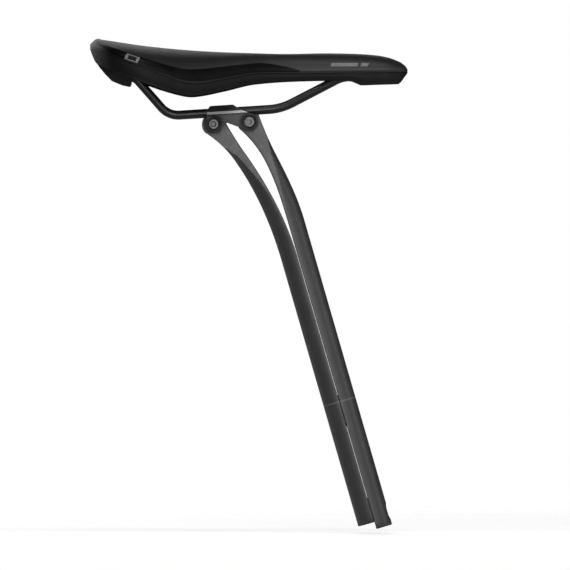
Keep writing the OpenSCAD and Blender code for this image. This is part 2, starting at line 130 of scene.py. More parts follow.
def smooth(t):
    """Eases from 0 to 1 as t goes from 0 to 1."""
    t = min(1.0, max(0.0, t))
    return t * t * (3 - 2 * t)


def signed_pow(value, power):
    return math.copysign(abs(value) ** power, value)


def turned(ahead, up, angle):
    """A direction across and along the post, turned back by an angle in radians."""
    return (
        ahead * math.cos(angle) - up * math.sin(angle),
        ahead * math.sin(angle) + up * math.cos(angle),
    )


def curve(knots, x):
    """Value at x of a smooth curve through knots, with slopes averaged over the neighbours."""
    if x <= knots[0][0]:
        return knots[0][1]
    if x >= knots[-1][0]:
        return knots[-1][1]
    i = max(k for k in range(len(knots) - 1) if knots[k][0] <= x)

    def slope(k):
        a, b = knots[max(0, k - 1)], knots[min(len(knots) - 1, k + 1)]
        return (b[1] - a[1]) / (b[0] - a[0])

    width = knots[i + 1][0] - knots[i][0]
    t = (x - knots[i][0]) / width
    start = (2 * t**3 - 3 * t**2 + 1) * knots[i][1]
    start += (t**3 - 2 * t**2 + t) * width * slope(i)
    end = (3 * t**2 - 2 * t**3) * knots[i + 1][1]
    end += (t**3 - t**2) * width * slope(i + 1)
    return start + end


def new_piece(name, points, faces, material):
    """A mesh object from points in mm."""
    mesh = bpy.data.meshes.new(name)
    mesh.from_pydata([tuple(p * MM) for p in points], [], faces)
    tidy_normals(mesh)
    piece = bpy.data.objects.new(name, mesh)
    bpy.context.collection.objects.link(piece)
    piece.data.materials.append(material)
    return piece


def tidy_normals(mesh):
    """Turns all faces outwards."""
    bm = bmesh.new()
    bm.from_mesh(mesh)
    bmesh.ops.recalc_face_normals(bm, faces=bm.faces)
    bm.to_mesh(mesh)
    bm.free()


def ring_skin(rings, closed_ends=True):
    """Points and faces of a tube through rings that all have the same number of points."""
    count = len(rings[0])
    points = [p for ring in rings for p in ring]
    faces = []
    for i in range(len(rings) - 1):
        for j in range(count):
            a, b = i * count + j, i * count + (j + 1) % count
            faces.append((a, b, b + count, a + count))
    if closed_ends:
        faces += ladder(0, count, False) + ladder((len(rings) - 1) * count, count, True)
    return points, faces


def ladder(first, count, forwards):
    """Faces that close a ring by joining each point to the one across from it."""
    faces = []
    for i in range(math.ceil(count / 2) - 1):
        j = count - 1 - i
        if i + 1 == j:
            continue
        face = [i, i + 1, j - 1, j] if i + 1 < j - 1 else [i, i + 1, j]
        face = [first + k for k in face]
        faces.append(tuple(face if forwards else reversed(face)))
    return faces


def smooth_shade(piece, angle=35):
    """Smooth shading that keeps edges sharper than the angle."""
    for polygon in piece.data.polygons:
        polygon.use_smooth = True
    piece.data.set_sharp_from_angle(angle=math.radians(angle))


def apply_modifiers(piece):
    """Bakes a piece's modifiers into its mesh."""
    graph = bpy.context.evaluated_depsgraph_get()
    baked = bpy.data.meshes.new_from_object(piece.evaluated_get(graph))
    piece.modifiers.clear()
    piece.data = baked


def cut(piece, points, faces):
    """Cuts a closed form out of a piece."""
    mesh = bpy.data.meshes.new("cutter")
    mesh.from_pydata([tuple(p * MM) for p in points], [], faces)
    tidy_normals(mesh)
    cutter = bpy.data.objects.new("cutter", mesh)
    bpy.context.collection.objects.link(cutter)
    modifier = piece.modifiers.new("cut", "BOOLEAN")
    modifier.operation = "DIFFERENCE"
    modifier.solver = "EXACT"
    modifier.object = cutter
    apply_modifiers(piece)
    bpy.data.objects.remove(cutter)


def prism(rings):
    """Points and faces of a tube between two rings, closed by one face at each end."""
    points, faces = ring_skin(rings, closed_ends=False)
    size = len(rings[0])
    return points, faces + [tuple(reversed(range(size))), tuple(range(size, 2 * size))]


def disc_ring(centre, across, up, radius, count):
    """Evenly spaced points of a circle in the plane of two directions."""
    turns = [2 * math.pi * k / count for k in range(count)]
    return [centre + radius * (math.cos(t) * across + math.sin(t) * up) for t in turns]


def bar_between(start, end, radius, count=64):
    """A closed cylinder between two points."""
    along = (end - start).normalized()
    across = along.orthogonal().normalized()
    up = along.cross(across)
    return prism([disc_ring(p, across, up, radius, count) for p in (start, end)])


# ---------- materials ----------

NOISE_ROUGHNESS = 0.55


class Paint:
    """A procedural material being wired up."""

    def __init__(self, name):
        self.material = bpy.data.materials.new(name)
        self.material.use_nodes = True
        self.tree = self.material.node_tree
        self.shader = self.tree.nodes["Principled BSDF"]
        self.place = self.add("ShaderNodeTexCoord").outputs["Object"]

    def add(self, kind, **settings):
        node = self.tree.nodes.new(kind)
        for key, value in settings.items():
            setattr(node, key, value)
        return node

    def link(self, source, target):
        self.tree.links.new(source, target)

    def set(self, **inputs):
        for key, value in inputs.items():
            self.shader.inputs[key.replace("_", " ")].default_value = value

    def math(self, operation, a, b=None):
        """Arithmetic on numbers and sockets."""
        node = self.add("ShaderNodeMath", operation=operation)
        for socket, value in zip(node.inputs, (a, b)):
            if isinstance(value, (int, float)):
                socket.default_value = value
            elif value is not None:
                self.link(value, socket)
        return node.outputs[0]

    def noise(self, size, detail=3.0, stretch=None):
        """Noise with features about size mm across, longer along axes where stretch is below 1."""
        place = self.place
        if stretch:
            node = self.add("ShaderNodeMapping")
            node.inputs["Scale"].default_value = stretch
            self.link(place, node.inputs["Vector"])
            place = node.outputs["Vector"]
        node = self.add("ShaderNodeTexNoise")
        node.inputs["Scale"].default_value = 1 / (size * MM)
        node.inputs["Detail"].default_value = detail
        node.inputs["Roughness"].default_value = NOISE_ROUGHNESS
        self.link(place, node.inputs["Vector"])
        return node.outputs["Fac"]

    def cells(self, size, feature="F1"):
        """Distance from the middle of cells about size mm across."""
        node = self.add("ShaderNodeTexVoronoi", feature=feature)
        node.inputs["Scale"].default_value = 1 / (size * MM)
        self.link(self.place, node.inputs["Vector"])
        return node.outputs["Distance"]

    def along(self, direction):
        """Distance in metres along a direction."""
        node = self.add("ShaderNodeVectorMath", operation="DOT_PRODUCT")
        node.inputs[1].default_value = tuple(direction)
        self.link(self.place, node.inputs[0])
        return node.outputs["Value"]

    def facing(self, direction):
        """Cosine between the flat face and a direction."""
        node = self.add("ShaderNodeVectorMath", operation="DOT_PRODUCT")
        node.inputs[1].default_value = tuple(direction)
        self.link(self.add("ShaderNodeNewGeometry").outputs["True Normal"], node.inputs[0])
        return node.outputs["Value"]

    def near_bolt(self, centre, full, none):
        """1 within full mm of the axis of a bolt across the bicycle, 0 beyond none mm."""
        flat = self.add("ShaderNodeVectorMath", operation="MULTIPLY")
        flat.inputs[1].default_value = (1, 0, 1)
        self.link(self.place, flat.inputs[0])
        reach = self.add("ShaderNodeVectorMath", operation="DISTANCE")
        reach.inputs[1].default_value = tuple(centre * MM)
        self.link(flat.outputs["Vector"], reach.inputs[0])
        return self.spread(reach.outputs["Value"], full * MM, none * MM, 1.0, 0.0)

    def spread(self, source, low, high, to_low=0.0, to_high=1.0):
        """Eases from to_low to to_high as the source goes from low to high."""
        node = self.add("ShaderNodeMapRange")
        node.interpolation_type = "SMOOTHSTEP"
        self.link(source, node.inputs["Value"])
        limits = {"From Min": low, "From Max": high, "To Min": to_low, "To Max": to_high}
        for key, value in limits.items():
            node.inputs[key].default_value = value
        return node.outputs["Result"]

    def tint(self, source, dark, light):
        """Colour that runs from dark to light as the source goes from 0 to 1."""
        node = self.add("ShaderNodeMix", data_type="RGBA")
        colour_a, colour_b, colour_out = 6, 7, 2  # these sockets share their names with others
        self.fill(node.inputs["Factor"], source)
        self.fill(node.inputs[colour_a], dark)
        self.fill(node.inputs[colour_b], light)
        return node.outputs[colour_out]

    def fill(self, socket, value):
        """Sets a socket to a number or a colour, or wires it to another socket."""
        if isinstance(value, (int, float)):
            socket.default_value = value
        elif isinstance(value, tuple):
            socket.default_value = (*value, 1.0)
        else:
            self.link(value, socket)

    def colour(self, source):
        self.fill(self.shader.inputs["Base Color"], source)

    def rough(self, source):
        self.fill(self.shader.inputs["Roughness"], source)

    def bump(self, source, depth, strength=1.0):
        """Surface relief of depth mm."""
        node = self.add("ShaderNodeBump")
        node.inputs["Distance"].default_value = depth * MM
        node.inputs["Strength"].default_value = strength
        self.link(source, node.inputs["Height"])
        self.link(node.outputs["Normal"], self.shader.inputs["Normal"])

    def edges(self, radius):
        """1 along edges that a rounding of radius mm would soften, 0 on flats."""
        bevel = self.add("ShaderNodeBevel", samples=6)
        bevel.inputs["Radius"].default_value = radius * MM
        geometry = self.add("ShaderNodeNewGeometry")
        dot = self.add("ShaderNodeVectorMath", operation="DOT_PRODUCT")
        self.link(bevel.outputs["Normal"], dot.inputs[0])
        self.link(geometry.outputs["Normal"], dot.inputs[1])
        return self.spread(dot.outputs["Value"], 0.995, 0.93)


def grey(level):
    """A grey with a trace of blue."""
    return (level, level, level * 1.03)


def carbon_paint():
    """Satin carbon: long faint fibres along the post, soft clouds and the insertion ring."""
    paint = Paint("satin_carbon")
    along = paint.along(POST_UP)
    fibre = paint.noise(0.9, 4.0, stretch=(1.0, 1.0, 0.16))
    clouds = paint.noise(30.0, 2.0)
    shade = paint.math("ADD", paint.math("MULTIPLY", fibre, 0.5), paint.math("MULTIPLY", clouds, 0.5))
    body = paint.tint(paint.spread(shade, 0.3, 0.7), grey(0.022), grey(0.03))
    mark = paint.spread(paint.math("ABSOLUTE", along), 0.3 * MM, 0.42 * MM, 1.0, 0.0)
    paint.colour(paint.tint(mark, body, grey(0.11)))
    paint.rough(paint.spread(paint.math("ADD", fibre, paint.noise(9.0)), 0.6, 1.4, 0.4, 0.5))
    paint.bump(paint.math("ADD", fibre, paint.math("MULTIPLY", paint.noise(0.3, 2.0), 0.4)), 0.006)
    paint.set(Coat_Weight=0.08, Coat_Roughness=0.4, Specular_IOR_Level=0.5)
    return paint.material


def anodised_paint():
    """Dark bead-blasted aluminium: worn edges, painted shade in rings round the bolts, and a sloped
    bevel painted pale as bare machined metal with a painted highlight.
    """
    paint = Paint("dark_anodised")
    grain = paint.noise(0.35, 2.0)
    patches = paint.noise(9.0, 3.0)
    body = paint.tint(paint.spread(patches, 0.35, 0.65), grey(0.026), grey(0.038))
    edges = paint.edges(0.35)
    worn = paint.math("MULTIPLY", edges, paint.spread(paint.noise(2.5, 4.0), 0.35, 0.6, 0.45, 1.0))
    rubbed = paint.tint(worn, body, grey(0.16))
    # painted shade: the colour darkens to near black in rings round both bolts, standing for the shade
    # in the recesses round them; the clamp's face is flat there
    rear_bolt_shade, front_bolt_shade = (paint.near_bolt(bolt, 6.0, 9.6) for bolt in (REAR_BOLT, FRONT_BOLT))
    ring = paint.math("MULTIPLY", paint.math("MAXIMUM", rear_bolt_shade, front_bolt_shade), 0.92)
    with_bolt_shade = paint.tint(ring, rubbed, grey(0.003))
    # painted highlight: faces sloped between upright and level, as on the side clamps' bevel, are
    # painted pale grey and made rougher; this stands for bare machined metal and for the light the
    # bevel catches from above
    slope = paint.facing(RAIL_UP)
    not_upright, not_level = paint.spread(slope, 0.38, 0.46), paint.spread(slope, 0.58, 0.66, 1.0, 0.0)
    bevel = paint.math("MULTIPLY", not_upright, not_level)
    paint.colour(paint.tint(bevel, with_bolt_shade, grey(0.5)))
    blasted = paint.spread(patches, 0.3, 0.7, 0.42, 0.52)
    paint.rough(paint.math("ADD", blasted, paint.math("MULTIPLY", bevel, 0.2)))
    paint.bump(grain, 0.02, 0.6)
    paint.set(Metallic=0.75)
    return paint.material


def steel_paint():
    """Satin steel with faint turning marks."""
    paint = Paint("satin_steel")
    scratches = paint.noise(0.5, 4.0, stretch=(3.0, 0.4, 3.0))
    patches = paint.noise(4.0)
    paint.colour(paint.tint(paint.spread(patches, 0.3, 0.7), grey(0.06), grey(0.095)))
    paint.rough(paint.spread(scratches, 0.3, 0.7, 0.36, 0.52))
    paint.bump(scratches, 0.012, 0.7)
    paint.set(Metallic=1.0)
    return paint.material


def sleeve_paint():
    """Hard anodised bronze with fine turning rings."""
    paint = Paint("hard_sleeve")
    rings = paint.noise(0.4, 3.0, stretch=(0.4, 4.0, 0.4))
    paint.colour(paint.tint(rings, (0.3, 0.27, 0.2), (0.42, 0.38, 0.3)))
    paint.rough(paint.spread(rings, 0.3, 0.7, 0.22, 0.34))
    paint.bump(rings, 0.008)
    paint.set(Metallic=1.0)
    return paint.material


def bush_paint():
    """Dark dry-running polymer with fine specks."""
    paint = Paint("dry_bush")
    specks = paint.cells(0.5)
    paint.colour(paint.tint(paint.spread(specks, 0.1, 0.5), (0.03, 0.028, 0.025), (0.05, 0.046, 0.04)))
    paint.rough(paint.spread(paint.noise(1.5), 0.3, 0.7, 0.5, 0.65))
    paint.bump(paint.noise(0.4), 0.02)
    return paint.material


def rail_paint():
    """Black semi-gloss paint with rub marks."""
    paint = Paint("rail_black")
    rub = paint.noise(3.0, 5.0, stretch=(0.3, 1.0, 1.0))
    body = paint.tint(paint.spread(paint.noise(12.0), 0.3, 0.7), grey(0.004), grey(0.007))
    paint.colour(paint.tint(paint.spread(rub, 0.62, 0.72), body, grey(0.018)))
    paint.rough(paint.spread(rub, 0.35, 0.7, 0.32, 0.5))
    paint.bump(paint.noise(0.8, 2.0), 0.015, 0.5)
    paint.set(Specular_IOR_Level=0.28)
    return paint.material


def shell_paint():
    """Black moulded nylon with a pebbled grain and edges rubbed a little paler."""
    paint = Paint("shell_nylon")
    pebbles = paint.cells(0.85, "SMOOTH_F1")
    patches = paint.noise(14.0)
    shade = paint.math("MULTIPLY", paint.math("ADD", pebbles, patches), 0.6)
    body = paint.tint(paint.spread(shade, 0.2, 0.8), grey(0.003), grey(0.008))
    edges = paint.edges(0.6)
    rubbed = paint.math("MULTIPLY", edges, paint.spread(paint.noise(3.0, 4.0), 0.3, 0.6, 0.4, 1.0))
    paint.colour(paint.tint(rubbed, body, grey(0.02)))
    paint.rough(paint.spread(pebbles, 0.1, 0.6, 0.5, 0.66))
    paint.bump(paint.math("ADD", pebbles, paint.math("MULTIPLY", paint.noise(0.3), 0.4)), 0.07, 0.9)
    paint.set(Specular_IOR_Level=0.13)
    return paint.material


def cover_paint():
    """Satin microfibre with a fine hide-like grain."""
    paint = Paint("cover_microfibre")
    hide = paint.cells(0.95, "SMOOTH_F1")
    fuzz = paint.noise(0.25, 2.0)
    patches = paint.noise(30.0, 3.0)
    paint.colour(paint.tint(paint.spread(patches, 0.3, 0.7), grey(0.006), grey(0.01)))
    relief = paint.math("ADD", paint.math("MULTIPLY", hide, -1.0), paint.math("MULTIPLY", fuzz, 0.35))
    paint.rough(paint.spread(paint.math("ADD", patches, hide), 0.4, 1.3, 0.5, 0.62))
    paint.bump(relief, 0.035, 0.7)
    paint.set(Specular_IOR_Level=0.5)
    return paint.material


def panel_paint():
    """Smooth semi-gloss film, faintly uneven."""
    paint = Paint("panel_gloss")
    paint.colour(paint.tint(paint.spread(paint.noise(18.0), 0.3, 0.7), grey(0.002), grey(0.004)))
    paint.rough(paint.spread(paint.noise(5.0), 0.3, 0.7, 0.34, 0.42))
    paint.bump(paint.noise(0.5, 2.0), 0.004, 0.5)
    paint.set(Specular_IOR_Level=0.09)
    return paint.material


def foam_paint():
    """Dark open-pored foam."""
    paint = Paint("foam")
    pores = paint.cells(0.7)
    paint.colour(paint.tint(paint.spread(pores, 0.1, 0.5), grey(0.02), grey(0.06)))
    paint.rough(0.9)
    paint.bump(pores, 0.15)
    return paint.material


def print_paint():
    """Pale grey ink, a little broken over the grain."""
    paint = Paint("pale_print")
    paint.colour(paint.tint(paint.spread(paint.noise(1.2, 4.0), 0.3, 0.7), grey(0.1), grey(0.17)))
    paint.rough(paint.spread(paint.noise(3.0), 0.3, 0.7, 0.4, 0.55))
    paint.bump(paint.cells(0.95), 0.03, 0.5)
    return paint.material


def pad_paint():
    """Matte black nylon."""
    paint = Paint("nylon_pad")
    paint.colour(paint.tint(paint.noise(2.0), grey(0.012), grey(0.022)))
    paint.rough(paint.spread(paint.noise(1.0), 0.3, 0.7, 0.55, 0.7))
    paint.bump(paint.noise(0.3), 0.02)
    return paint.material


CARBON = carbon_paint()
ANODISED = anodised_paint()
STEEL = steel_paint()
SLEEVE = sleeve_paint()
BUSH = bush_paint()
RAIL = rail_paint()
SHELL = shell_paint()
COVER = cover_paint()
PANEL = panel_paint()
FOAM = foam_paint()
PRINT = print_paint()
PAD = pad_paint()

# ---------- leaves ----------

EYE_R = 9.7
EYE_HALF = 10.5
EYE_BORE_R = 6.22
LEAF_HALF = 5.2
LEAF_HALF_LOW = (POST_R - SLIT / 2) / 2
LEAF_LINE = (POST_R + SLIT / 2) / 2
FLARE = 34.0
EDGE_R = 0.7
FOOT_CHAMFER = 0.4
TIP_SWEEP = 85.0
REAR_FOOT = -102.4
FRONT_FOOT = -108.3
SCREW_HEIGHT = post_place(centre_of("adjust_washer"))[1]
SCREW_HOLE_R = 2.5
SCREW_POCKET_R = 4.6
SCREW_FLOOR = 8.0
SCREW_TRAVEL = 2.2
REAR_CURVE_START = 122.0
FRONT_CURVE_START = 150.0
FLANK_FROM = 92.0
FLANK_TO = 18.0
LEAST_FLAT = 0.02
MOST_FLAT = 0.97
CREASE = 0.38
CREASE_FULL_FLAT = 0.3
BLEND_FROM = 5.0
BLEND_TO = 205.0


def spread_at(left):
    """How far the flat flanks have spread, from the distance left to the eye."""
    return min(1.0, max(0.0, (FLANK_FROM - left) / (FLANK_FROM - FLANK_TO)))


def leaf_section(side, ahead, up, turn, half, width, flat, inset=0.0):
    """One ring of a leaf: a rounded outer side, a crease, flat flanks and a flat side on the slit.

    flat is the share of the leaf's thickness that the flanks reach over.
    """
    arc_steps, flank_steps, corner_steps, flat_steps = 30, 6, 4, 6
    least_half, edge_share, spare = 0.3, 0.8, 0.02
    width, half = width - inset, max(least_half, half - inset)
    radius = min(EDGE_R, half * edge_share)
    crease = CREASE * min(1.0, flat / CREASE_FULL_FLAT)
    last = math.acos(crease)
    outline = []
    for k in range(arc_steps + 1):
        t = mix(-last, last, k / arc_steps)
        share = mix(flat, 1.0, (math.cos(t) - crease) / (1 - crease))
        outline.append((2 * half * share - half, width * math.sin(t) / math.sin(last)))
    flank_end = max(2 * half * flat, radius + spare)
    outline[0] = (flank_end - half, -width)
    outline[-1] = (flank_end - half, width)
    flank = [(mix(flank_end, radius, k / flank_steps) - half, width) for k in range(1, flank_steps)]
    outline += flank
    for k in range(corner_steps + 1):
        f = math.radians(90 + 90 * k / corner_steps)
        outline.append((-half + radius + radius * math.cos(f), width - radius + radius * math.sin(f)))
    for k in range(1, flat_steps):
        outline.append((-half, mix(width - radius, radius - width, k / flat_steps)))
    for k in range(corner_steps + 1):
        f = math.radians(180 + 90 * k / corner_steps)
        outline.append((-half + radius + radius * math.cos(f), radius - width + radius * math.sin(f)))
    outline += [(depth, -y) for depth, y in reversed(flank)]
    ring = []
    for depth, left in outline:
        da, du = turned(side * depth, 0, turn)
        ring.append(on_post(ahead + da, up + du, -side * left))
    return ring


def leaf_rings(side, foot, start, eye):
    """Rings of a leaf from its foot, up the straight, round the bend and over the eye's tip."""
    line = side * LEAF_LINE
    eye_ahead, eye_up = post_place(eye)
    radius = ((line - eye_ahead) ** 2 + (eye_up - start) ** 2) / (2 * (line - eye_ahead))
    sweep = math.asin((eye_up - start) / radius)
    length = radius * sweep
    rings = [leaf_section(side, line, foot, 0, LEAF_HALF_LOW, POST_R, LEAST_FLAT, FOOT_CHAMFER)]
    straight_steps = 56
    for k in range(straight_steps + 1):
        height = mix(foot + FOOT_CHAMFER, start, k / straight_steps)
        rings.append(leaf_section(side, line, height, 0, LEAF_HALF_LOW, POST_R, LEAST_FLAT))
    bend_steps = 110
    for k in range(1, bend_steps + 1):
        turn = sweep * k / bend_steps
        left = length * (1 - k / bend_steps)
        half = mix(LEAF_HALF_LOW, LEAF_HALF, smooth((length - left) / (length - FLARE)))
        half += (EYE_R - LEAF_HALF) * max(0.0, 1 - left / FLARE) ** 2
        ahead, up = line - radius + radius * math.cos(turn), start + radius * math.sin(turn)
        spread = spread_at(left)
        flat = max(LEAST_FLAT, MOST_FLAT * spread**1.5)
        width = mix(POST_R, EYE_HALF, smooth(spread))
        rings.append(leaf_section(side, ahead, up, turn, half, width, flat))
    tip_steps = 14
    for k in range(1, tip_steps + 1):
        round_angle = math.radians(TIP_SWEEP * k / tip_steps)
        da, du = turned(0, EYE_R * math.sin(round_angle), sweep)
        half = EYE_R * math.cos(round_angle)
        rings.append(leaf_section(side, eye_ahead + da, eye_up + du, sweep, half, EYE_HALF, MOST_FLAT))
    return rings


def post_slot(radius, ahead_from, ahead_to):
    """A closed slot for the adjusting screw, long enough for its travel, between two depths."""
    count = 20
    rings = []
    for ahead in (ahead_from, ahead_to):
        ring = []
        for end in (1, -1):
            for k in range(count + 1):
                f = math.pi * k / count + (0 if end > 0 else math.pi)
                up = SCREW_HEIGHT + end * SCREW_TRAVEL + radius * math.sin(f)
                ring.append(on_post(ahead, up, radius * math.cos(f)))
        rings.append(ring)
    return prism(rings)


def build_leaf(name, side, foot, start, eye, nodes):
    """One leaf, bored at its eye."""
    points, faces = ring_skin(leaf_rings(side, foot, start, eye))
    leaf = new_piece(name, points, faces, CARBON)
    across = Vector((0, 2 * POST_R, 0))
    cut(leaf, *bar_between(eye - across, eye + across, EYE_BORE_R))
    if side > 0:
        cut(leaf, *post_slot(SCREW_POCKET_R, SCREW_FLOOR, 1.5 * POST_R))
        cut(leaf, *post_slot(SCREW_HOLE_R, -1, SCREW_FLOOR + 1))
    smooth_shade(leaf, 50)
    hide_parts(*nodes)
    start, end = (tuple(on_post(0, height) * MM) for height in (BLEND_FROM, BLEND_TO))
    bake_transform(leaf)


build_leaf(
    "rear_leaf", -1, REAR_FOOT, REAR_CURVE_START, REAR_BOLT,
    ("rear_leaf_shank", "rear_leaf_blade"),
)
build_leaf(
    "front_leaf", 1, FRONT_FOOT, FRONT_CURVE_START, FRONT_BOLT,
    ("front_leaf_shank", "front_leaf_blade"),
)

# ---------- hard parts refined from their CAD nodes ----------


MERGE_WITHIN = 0.002
FLAT_WITHIN = 1.0
SHARP_OVER = 32.0


def refine(node, body, material, bevel=0.3, segments=3):
    """A copy of a CAD node with merged flats and rounded edges, which stands for the node."""
    mesh = frame["nodes"][node].data.copy()
    mesh.materials.clear()
    if "custom_normal" in mesh.attributes:
        mesh.attributes.remove(mesh.attributes["custom_normal"])
    bm = bmesh.new()
    bm.from_mesh(mesh)
    bmesh.ops.remove_doubles(bm, verts=bm.verts, dist=MERGE_WITHIN * MM)
    bmesh.ops.dissolve_limit(
        bm, angle_limit=math.radians(FLAT_WITHIN), verts=bm.verts, edges=bm.edges
    )
    bm.to_mesh(mesh)
    bm.free()
    piece = bpy.data.objects.new(node + "_finished", mesh)
    bpy.context.collection.objects.link(piece)
    mesh.materials.append(material)
    modifier = piece.modifiers.new("rounding", "BEVEL")
    modifier.width = bevel * MM
    modifier.segments = segments
    modifier.limit_method = "ANGLE"
    modifier.angle_limit = math.radians(SHARP_OVER)
    modifier.use_clamp_overlap = True
    apply_modifiers(piece)
    smooth_shade(piece, SHARP_OVER)
    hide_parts(node)
    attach(piece, body)


for node in ("head_core", "right_side_clamp", "left_side_clamp"):
    refine(node, "head", ANODISED, bevel=0.45)
for end in ("rear", "front"):
    refine(f"{end}_clamp_bolt", "head", STEEL, bevel=0.35)
    refine(f"{end}_bolt_washer", "head", PAD, bevel=0.15)
    refine(f"{end}_clamp_nut", "head", STEEL, bevel=0.25)
    for side in ("right", "left"):
        refine(f"{end}_bush_{side}", f"{end}_blade", BUSH, bevel=0.2)
for end in ("rear", "front"):
    refine(f"{end}_pivot_sleeve", "head", SLEEVE, bevel=0.2)
for node in ("adjust_screw", "adjust_washer", "adjust_nut"):
    refine(node, "rear_half", STEEL, bevel=0.15)
for node in ("collar_pad", "foot_pad"):
    refine(node, "rear_half", PAD, bevel=0.08)
for node in ("right_rear_socket", "left_rear_socket", "nose_socket"):
    refine(node, "saddle", SHELL, bevel=1.2, segments=4)

# ---------- rails ----------

RAIL_R = 3.5
RAIL_Y = 22.0
RAIL_PATH = [
    Vector(p) for p in (
        (-92, -27, 39.4), (-71, -26, 32.4), (-46, -RAIL_Y, 0),
        (46, -RAIL_Y, 0), (97.3, -9, 22.6), (130, -8, 21.1),
    )
]
RAIL_BENDS = (0, 11, 18, 42, 22, 0)
RAIL_SIDES = 40


def rail_stops():
    """Centreline points and headings along the right rail, with arcs at its corners."""
    heads = [(b - a).normalized() for a, b in zip(RAIL_PATH, RAIL_PATH[1:])]
    stops = [(RAIL_PATH[0], heads[0])]
    for i in range(1, len(RAIL_PATH) - 1):
        before, after = heads[i - 1], heads[i]
        total = before.angle(after)
        inward = before.cross(after).normalized().cross(before)
        first = RAIL_PATH[i] - before * RAIL_BENDS[i] * math.tan(total / 2)
        steps = 14
        for k in range(steps + 1):
            a = total * k / steps
            place = first + RAIL_BENDS[i] * ((1 - math.cos(a)) * inward + math.sin(a) * before)
            stops.append((place, math.cos(a) * before + math.sin(a) * inward))
    return stops + [(RAIL_PATH[-1], heads[-1])]


def build_rail(name, side, node):
    """A bent round rail. The left one mirrors the right one."""
    rings = []
    for place, heading in rail_stops():
        up = heading.cross(Vector((0, 1, 0))).normalized()
        across = heading.cross(up)
        rings.append([
            on_head(p.x, -side * p.y, p.z) for p in disc_ring(place, across, up, RAIL_R, RAIL_SIDES)
        ])
    points, faces = ring_skin(rings)
    rail = new_piece(name, points, faces, RAIL)
    smooth_shade(rail, 50)
    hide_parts(node)
    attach(rail, "saddle")


for word, side in reversed(SIDES):
    build_rail(f"rail_{word}", side, f"{word}_rail")

# ---------- saddle ----------
# Side profiles as knots of x and z from the clamp, level with the ground.

TAIL_X = -110.3
NOSE_X = TAIL_X + 259.8
WIDTH = 145.0
TOP_LINE = [
    (TAIL_X, 55.2), (-105, 59.8), (-100, 59.2), (-63, 53.9), (-17, 50.2), (28.6, 48.9), (97, 48),
    (120, 46.9), (133, 44.8), (143, 41), (147.5, 37.6), (NOSE_X, 34.8),
]
SEAM_LINE = [
    (TAIL_X, 52.6), (-101.9, 50.2), (-82.2, 41.8), (-50.4, 30.1), (-36.3, 24.6), (-22.2, 23),
    (-3.5, 25.8), (23.4, 31), (54.6, 31.8), (110, 32.3), (NOSE_X, 32.8),
]
SKIRT_LINE = [
    (TAIL_X, 52), (-108.4, 47), (-105, 40), (-98, 36), (-64.5, 22.7), (-40, 14.9), (-26, 12.8),
    (0, 17.4), (22.9, 22.6), (62.9, 25.3), (104, 25.2), (112, 22.4),
    (127, 22.8), (141.2, 23.3), (143.6, 24.4), (146.6, 28.4), (NOSE_X, 32.2),
]
PANEL_LINE = [
    (-104, 55.6), (-96, 54.6), (-67.2, 44.2), (-36.3, 35.2), (-22.2, 34.7), (12.3, 38.5),
    (30, 40), (49.6, 37.1), (66, 33),
]
WIDE_X = -66.0
NECK_X = 64.0
NOSE_HALF = 21.0
NOSE_ROUND = 26.0
END_TURN = 4.0
TAIL_BLUNT = 2.5
TAIL_FULL = 2.2
WAIST_EASE = 0.9
SEAM_DIP = 1.1
SEAM_REACH = 1.1
CHANNEL = 1.8
CHANNEL_HALF = 8.0
CHANNEL_REAR = (-80, 45)
CHANNEL_FRONT = (90, 60)
CROWN_SWELL = 0.8
SIDE_SWELL = 0.86
COVER_T = 1.1
FOAM_FROM = 1.3
FOAM_REAR = 8.5
FOAM_FRONT = 5.5
FULL_SECTION = 26.0
LEAST_RISE = 0.4


def half_width(x):
    """Half of the saddle's width: a blunt tail, a waist and a rounded nose."""
    if x < WIDE_X:
        share = (WIDE_X - x) / (WIDE_X - TAIL_X)
        return WIDTH / 2 * max(0.0, 1 - share**TAIL_BLUNT) ** (1 / TAIL_FULL)
    waist = smooth(min(1.0, (x - WIDE_X) / (NECK_X - WIDE_X)) ** WAIST_EASE)
    nose = max(0.0, (x - NOSE_X + NOSE_ROUND) / NOSE_ROUND) ** 3
    return mix(WIDTH / 2, NOSE_HALF, waist) * math.sqrt(max(0.0, 1 - nose))


def station(share):
    """Stations crowd towards both ends, and stop a little short of them to keep a small width."""
    turn = math.radians(mix(END_TURN, 180 - END_TURN, share))
    return mix(TAIL_X, NOSE_X, 0.5 - 0.5 * math.cos(turn))


def foam_depth(x):
    """How deep under the cover's surface the foam ends."""
    return mix(FOAM_REAR, FOAM_FRONT, smooth((x - WIDE_X) / (NECK_X - WIDE_X)))


def shrink(x):
    """Share of a section's full depths that is left where the saddle is narrow."""
    return min(1.0, half_width(x) / FULL_SECTION)


def channel(x, y):
    """Depth of the channel along the top, fading out before the tail and the nose."""
    (rear, fade_in), (front, fade_out) = CHANNEL_REAR, CHANNEL_FRONT
    along = smooth((x - rear) / fade_in) * smooth((front - x) / fade_out)
    return CHANNEL * along * math.exp(-((y / CHANNEL_HALF) ** 2))


def crown_point(x, f, off):
    """Point of the padded top at station x and angle f from the crown, off inside the cover."""
    o = off * shrink(x)
    base = curve(SEAM_LINE, x)
    rise = max(LEAST_RISE, curve(TOP_LINE, x) - base - o)
    lift = rise * max(0.0, math.cos(f)) ** CROWN_SWELL
    dip = SEAM_DIP * math.exp(-((lift / SEAM_REACH) ** 2)) * shrink(x)
    y = (half_width(x) - o - dip) * signed_pow(math.sin(f), SIDE_SWELL)
    return on_saddle(x, y, base + lift - channel(x, y))


def side_angle(x, z, least=0.01, most=0.995):
    """Angle from the crown at which the top has a height, kept off the crown and the seam."""
    base = curve(SEAM_LINE, x)
    share = min(most, max(least, (z - base) / (curve(TOP_LINE, x) - base)))
    return math.acos(share ** (1 / CROWN_SWELL))


def crown_angles(steps):
    """Angles from one edge of the top to the other, crowded towards the edges."""
    shares = [math.sin(math.radians(-90 + 180 * k / steps)) for k in range(steps + 1)]
    return [math.radians(90 * share) for share in shares]


STATIONS = 120
CROWN = crown_angles(72)


